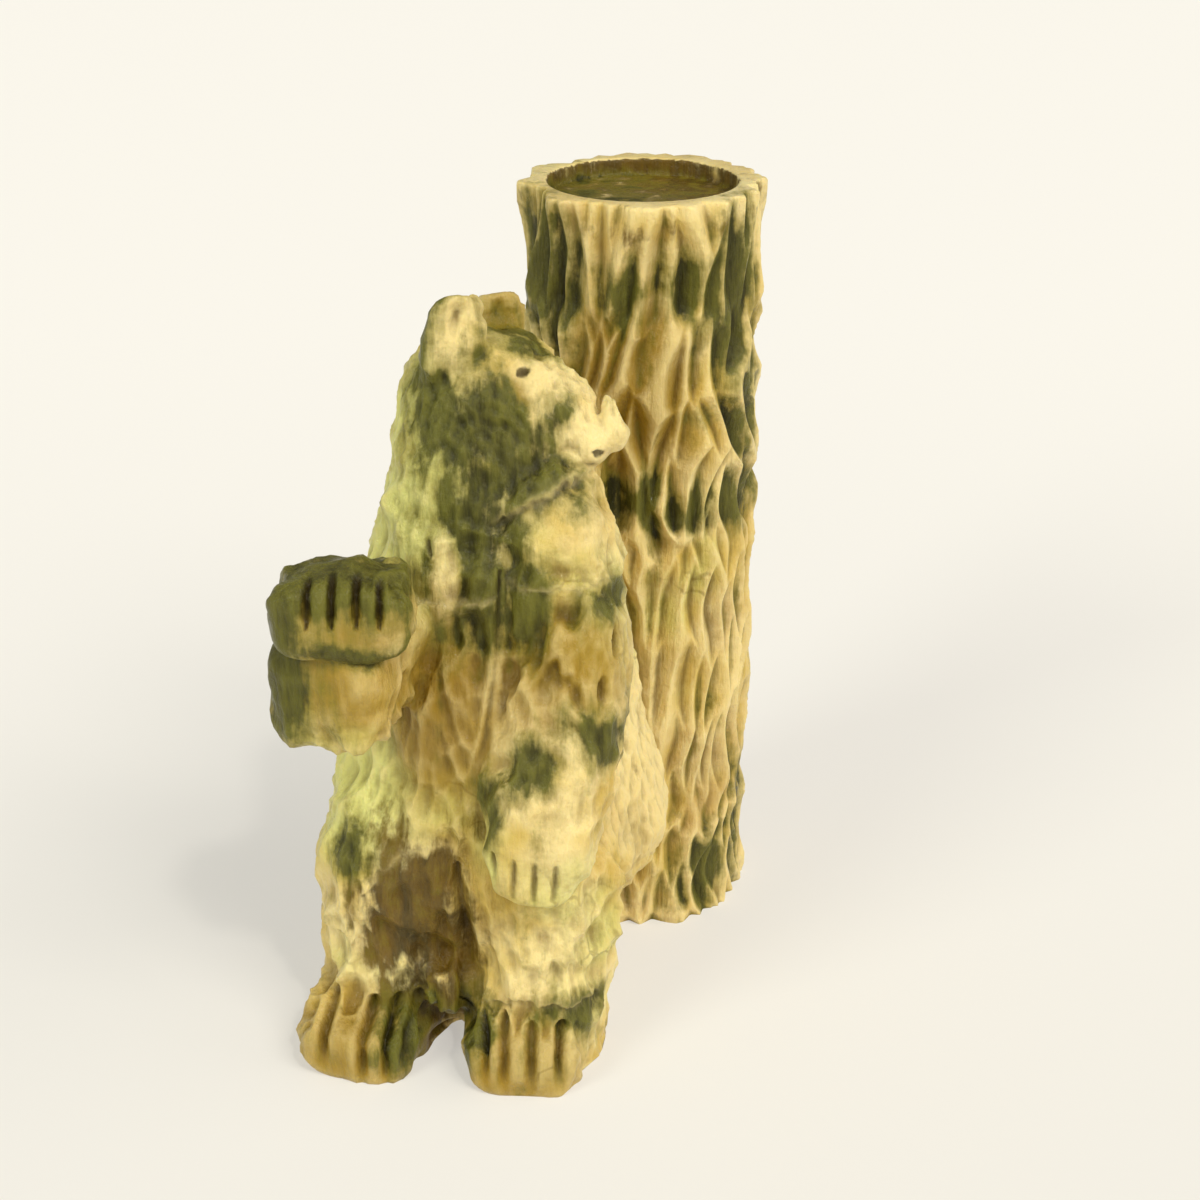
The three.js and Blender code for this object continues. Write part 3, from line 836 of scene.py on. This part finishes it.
def soapstone():
    """Waxed soapstone: honey and cream clouds, green and amber drifts, dark green veins and brown stains
    whose edges are broken by noise, ochre painted into the hollows as shade and cream onto the ridges as
    highlight, and painted light and shade in some patches and cuts."""
    material = bpy.data.materials.new("soapstone")
    material.use_nodes = True
    tree = Tree(material.node_tree)
    shader = material.node_tree.nodes["Principled BSDF"]
    place = tree.add("TexCoord").outputs["Object"]
    broad = tree.noise(place, scale=38, detail=3)
    cloudy = tree.noise(place, scale=160, detail=6, rough=0.6)
    fleck = tree.noise(place, scale=620, detail=5, rough=0.65)
    cavity = tree.mask("cavity")
    combed = tree.add("Mapping", Vector=place, Rotation=(0.0, 0.35, 0.0), Scale=(900, 900, 120))
    comb = tree.noise(combed.outputs[0], scale=1.0, detail=4, rough=0.6)

    base = tree.mix(tree.step(broad, 0.38, 0.62), HONEY, CREAM)
    drift = tree.noise(place, scale=24, detail=3)
    base = tree.lay(base, PALE_GREEN, tree.step(drift, 0.5, 0.7), most=0.6)
    base = tree.lay(base, TAN, tree.step(drift, 0.46, 0.3), most=0.5)
    base = tree.lay(base, PALE_GREEN, tree.step(tree.mask("green"), 0.2, 0.65), most=0.85)
    mottle = tree.noise(place, scale=75, detail=6, rough=0.6)
    # Cream patches: pale stone on the ears, tongue, muzzle and face, and painted light on the rump
    base = tree.lay(base, CREAM, tree.step(tree.mask("cream"), 0.3, 0.7), most=0.8)
    base = tree.lay(base, DUSK, tree.step(mottle, 0.48, 0.66), most=0.4)
    # Darker honey-brown patches, painted shade beside the head and in the eye socket
    dusky = tree.step(tree.math("ADD", tree.mask("dusk"), tree.math("MULTIPLY", cloudy, 0.5)), 0.45, 1.0)
    base = tree.lay(base, DUSK, dusky, most=0.8)
    drawn = tree.add("Mapping", Vector=place, Scale=(170, 170, 24))
    streak = tree.noise(drawn.outputs[0], scale=1.0, detail=5, rough=0.6)
    # relief is the combed streaks plus the cavity. It paints shade into the hollows and highlight onto the
    # ridges
    relief = tree.math("MULTIPLY_ADD", tree.math("SUBTRACT", comb, 0.5), 0.7, cavity)
    on_trunk = tree.math("MULTIPLY_ADD", tree.mask("trunk"), 0.3, 0.6)
    # Painted shade: ochre laid in the hollows, more on the trunk than on the bear
    deep = tree.add("MapRange", Value=relief, From_Min=0.0, From_Max=0.9).outputs["Result"]
    base = tree.mix(tree.math("MULTIPLY", deep, on_trunk), base, OCHRE)
    # Painted highlight: cream laid on the ridges, more on the trunk than on the bear
    painted_ridge_highlight = tree.add("MapRange", Value=relief, From_Min=0.0, From_Max=-0.8).outputs["Result"]
    base = tree.mix(tree.math("MULTIPLY", painted_ridge_highlight, tree.math("SUBTRACT", on_trunk, 0.3)), base, CREAM)
    bent = tree.add("VectorMath", {"operation": "MULTIPLY_ADD"})
    tree.put(bent.inputs[0], tree.add("TexNoise", Vector=place, Scale=90.0).outputs["Color"])
    tree.put(bent.inputs[1], (0.012, 0.012, 0.012))
    tree.put(bent.inputs[2], place)
    cell = tree.add("TexVoronoi", {"feature": "DISTANCE_TO_EDGE"}, Vector=bent.outputs[0], Scale=44.0)
    crack = tree.step(cell.outputs["Distance"], 0.03, 0.006)
    crack = tree.math("MULTIPLY", crack, tree.step(drift, 0.56, 0.66))
    base = tree.lay(base, OCHRE, crack, most=0.4)

    rough_edge = tree.math("ADD", tree.math("MULTIPLY", tree.math("SUBTRACT", cloudy, 0.5), 0.8),
                           tree.math("MULTIPLY", tree.math("SUBTRACT", streak, 0.5), 1.5))
    stain = tree.step(tree.math("ADD", tree.mask("stain"), rough_edge), 0.2, 0.6)
    stained = tree.mix(tree.step(streak, 0.35, 0.65), BROWN, OCHRE)
    base = tree.lay(base, stained, stain, most=0.92)
    paler = tree.math("MULTIPLY", tree.step(tree.mask("cream"), 0.3, 0.7), 0.4)
    vein = tree.math("SUBTRACT", tree.math("ADD", tree.mask("vein"), rough_edge), paler)
    # The trunk's veins spread further into its hollows, which darkens them as painted shade
    vein = tree.math("MULTIPLY_ADD", tree.math("MULTIPLY", relief, tree.mask("trunk")), 0.3, vein)
    base = tree.lay(base, OLIVE, tree.step(vein, 0.02, 0.46), most=0.65)
    veined = tree.math("MULTIPLY_ADD", comb, 0.8, streak)
    # Inside the veins the ridges turn lighter and the hollows darker, as painted highlight and painted
    # shade
    veined = tree.math("SUBTRACT", veined, tree.math("MULTIPLY", relief, 0.28))
    veined = tree.mix(tree.step(veined, 0.55, 1.25), VEIN_DARK, VEIN_LIGHT)
    base = tree.lay(base, veined, tree.step(vein, 0.34, 0.62), most=0.92)
    wisp = tree.step(tree.noise(place, scale=52, detail=8, rough=0.62), 0.6, 0.72)
    base = tree.lay(base, VEIN_LIGHT, wisp, most=0.45)
    base = tree.lay(base, CREAM, tree.mask("edge"), most=0.35)
    # Painted shade: brown laid inside the cuts and gashes
    groove = tree.step(tree.mask("groove"), 0.2, 0.9)
    base = tree.lay(base, BROWN, groove, most=0.8)

    tree.put(shader.inputs["Base Color"], base)
    tree.put(shader.inputs["Roughness"], tree.add(
        "MapRange", Value=cloudy, To_Min=0.2, To_Max=0.46).outputs["Result"])
    shader.inputs["Subsurface Weight"].default_value = 0.3
    shader.inputs["Subsurface Radius"].default_value = (1.0, 0.75, 0.3)
    shader.inputs["Subsurface Scale"].default_value = 1.6 * MM
    shader.inputs["Specular IOR Level"].default_value = 0.11
    shader.inputs["Coat Weight"].default_value = 0.16
    shader.inputs["Coat Roughness"].default_value = 0.08
    height = tree.math("ADD", tree.math("MULTIPLY", comb, 0.8), tree.math("MULTIPLY", fleck, 0.6))
    bump = tree.add("Bump", Strength=1.0, Distance=0.8 * MM, Height=height)
    tree.put(shader.inputs["Normal"], bump.outputs["Normal"])
    tree.put(shader.inputs["Coat Normal"], bump.outputs["Normal"])
    return material


def floor():
    """A wide pale sheet under the carving: a flat grid of four corners. Its colour is painted paler towards
    the back as painted light, and it glows a little, which lightens the shadows on it.
    """
    far = FLOOR_REACH
    corners = [(-far, -far, 0), (far, -far, 0), (far, far, 0), (-far, far, 0)]
    mesh = bpy.data.meshes.new("floor")
    mesh.from_pydata(corners, [], [(0, 1, 2, 3)])
    material = bpy.data.materials.new("paper")
    material.use_nodes = True
    shader = material.node_tree.nodes["Principled BSDF"]
    tree = Tree(material.node_tree)
    apart = tree.add("SeparateXYZ", Vector=tree.add("TexCoord").outputs["Object"]).outputs["Y"]
    # Painted light: the paper is darker near the camera and paler far off
    paler = tree.mix(tree.step(apart, -0.3, 0.7), FLOOR_NEAR_SHADED, FLOOR_FAR_LIT)
    tree.put(shader.inputs["Base Color"], paler)
    shader.inputs["Roughness"].default_value = 0.85
    # The paper glows a little, which lightens its shadows
    shader.inputs["Emission Color"].default_value = (*WARM, 1)
    shader.inputs["Emission Strength"].default_value = FLOOR_GLOW
    mesh.materials.append(material)
    obj = bpy.data.objects.new("floor", mesh)
    bpy.context.scene.collection.objects.link(obj)


def sun(name, turn, rise, strength, spread, tint):
    """Far soft light from a turn off the camera's side and a rise, in degrees, as wide as spread."""
    light = bpy.data.lights.new(name, "SUN")
    light.energy = strength
    light.angle = math.radians(spread)
    light.color = tint
    obj = bpy.data.objects.new(name, light)
    obj.rotation_euler = (math.radians(90 - rise), 0, math.radians(turn))
    obj.location = (0, 0, 1)
    bpy.context.scene.collection.objects.link(obj)


def camera():
    """The photograph's camera: its place and pitch, and its focal length on a 36 mm frame."""
    data = bpy.data.cameras.new("camera")
    data.sensor_width = CAMERA_SENSOR
    data.lens = CAMERA_LENS
    data.clip_start = 0.01
    obj = bpy.data.objects.new("camera", data)
    obj.location = CAMERA_PLACE
    obj.rotation_euler = (math.radians(90 - CAMERA_PITCH), 0, 0)
    bpy.context.scene.collection.objects.link(obj)
    bpy.context.scene.camera = obj


def room():
    """Even pale light from all round."""
    world = bpy.data.worlds.new("room")
    world.use_nodes = True
    world.node_tree.nodes["Background"].inputs["Color"].default_value = (*ROOM_TINT, 1)
    world.node_tree.nodes["Background"].inputs["Strength"].default_value = ROOM_STRENGTH
    bpy.context.scene.world = world
    bpy.context.scene.view_settings.view_transform = "Standard"


piece = carving()
piece.data.materials.clear()
piece.data.materials.append(soapstone())
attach(piece, "root")
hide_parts("bear_and_trunk")
floor()
sun("key", 42, 44, 1.58, 26, WARM)
sun("glint", 28, 50, 0.55, 3.5, GLINT_TINT)
sun("side", 84, 30, 0.75, 40, WARM)
sun("fill", -44, 31, 1.4, 24, FILL_TINT)
camera()
room()
